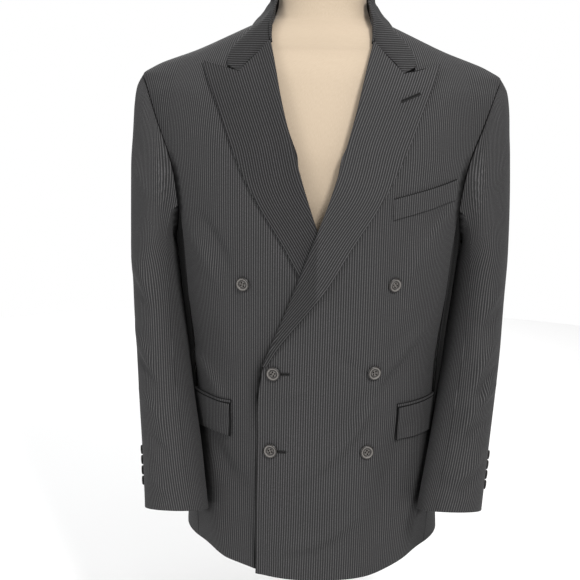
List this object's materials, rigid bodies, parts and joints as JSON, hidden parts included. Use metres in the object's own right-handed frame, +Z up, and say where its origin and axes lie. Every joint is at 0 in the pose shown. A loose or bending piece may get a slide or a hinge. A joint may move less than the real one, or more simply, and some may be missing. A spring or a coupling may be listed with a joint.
{
  "type": "double breasted blazer on a dress form",
  "caption": "Tailored double breasted blazer with peak lapels, flap pockets and a breast welt, worn by a limbless dress form on a post and a round base.",
  "frame": {"origin": "centre of the round base's underside, which stands on Z = 0", "axes": "+Z up along the post, -Y out of the front of the blazer, +X towards the wearer's left"},
  "size_m": [0.5495, 0.34, 1.05],
  "materials": {
    "wool": "matte charcoal worsted wool with fine pale stripes",
    "horn": "satin dark brown horn buttons",
    "linen": "matte cream linen over a padded form",
    "steel": "satin black powder coat"
  },
  "bodies": {
    "root": {"front_left": "wool", "front_right": "wool", "side_left": "wool", "side_right": "wool", "back_left": "wool", "back_right": "wool", "sleeve_top_left": "wool", "sleeve_top_right": "wool", "sleeve_under_left": "wool", "sleeve_under_right": "wool", "lapel_left": "wool", "lapel_right": "wool", "collar": "wool", "breast_welt": "wool", "pocket_flap_left": "wool", "pocket_flap_right": "wool", "pocket_jet_left": "wool", "pocket_jet_right": "wool", "button_front_1": "horn", "button_front_2": "horn", "button_front_3": "horn", "button_front_4": "horn", "button_front_5": "horn", "button_front_6": "horn", "button_cuff_left_1": "horn", "button_cuff_left_2": "horn", "button_cuff_left_3": "horn", "button_cuff_left_4": "horn", "button_cuff_right_1": "horn", "button_cuff_right_2": "horn", "button_cuff_right_3": "horn", "button_cuff_right_4": "horn", "form_torso": "linen", "stand_post": "steel", "stand_base": "steel"}
  },
  "joints": []
}
